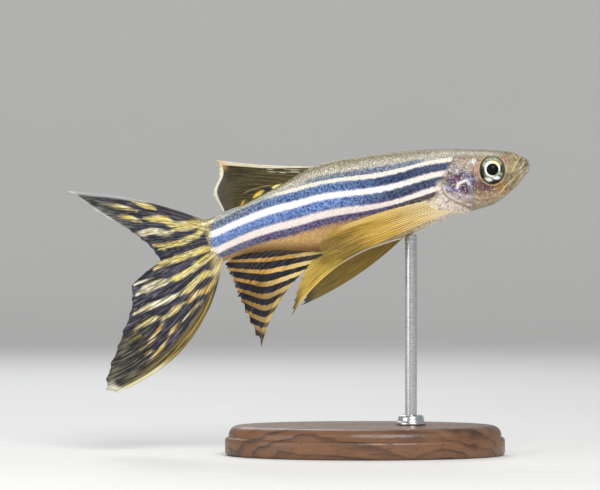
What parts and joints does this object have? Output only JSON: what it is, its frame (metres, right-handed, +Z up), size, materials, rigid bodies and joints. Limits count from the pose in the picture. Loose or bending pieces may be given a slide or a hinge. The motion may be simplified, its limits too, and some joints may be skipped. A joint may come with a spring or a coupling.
{
  "type": "long-finned zebra danio fish model on a display stand",
  "caption": "Life-size museum model of a swimming long-finned zebra danio with ridged fins, held by a rod over an oval base.",
  "frame": {"origin": "centre of the underside of the stand's oval base", "axes": "+X the way the fish swims, +Y to the fish's left, +Z up"},
  "size_m": [0.0459, 0.018, 0.0306],
  "materials": {
    "flank": "silvery scales with blue and pale bands along the body",
    "head_skin": "smooth olive-cream skin, fine dark speckles",
    "gill_skin": "pearly, flushed with purple and red",
    "eye": "wet and clear, pale ring round a black pupil",
    "striped_fin": "thin membrane, gold and blue-black bands",
    "clear_fin": "thin translucent olive-gold membrane with pale rays",
    "barbel": "soft pale feelers",
    "stand_wood": "satin dark walnut",
    "stand_steel": "satin"
  },
  "bodies": {
    "root": {"head": "head_skin", "gill_cover_right": "gill_skin", "gill_cover_left": "gill_skin", "eye_right": "eye", "eye_left": "eye", "trunk": "flank", "tail_section": "flank", "tail_stalk": "flank", "dorsal_fin": "clear_fin", "anal_fin": "striped_fin", "tail_fin_upper": "striped_fin", "tail_fin_lower": "striped_fin", "pectoral_fin_right": "clear_fin", "pectoral_fin_left": "clear_fin", "pelvic_fin_right": "clear_fin", "pelvic_fin_left": "clear_fin", "barbel_upper_right": "barbel", "barbel_upper_left": "barbel", "barbel_lower_right": "barbel", "barbel_lower_left": "barbel", "stand_base": "stand_wood", "stand_rod": "stand_steel"}
  },
  "joints": []
}
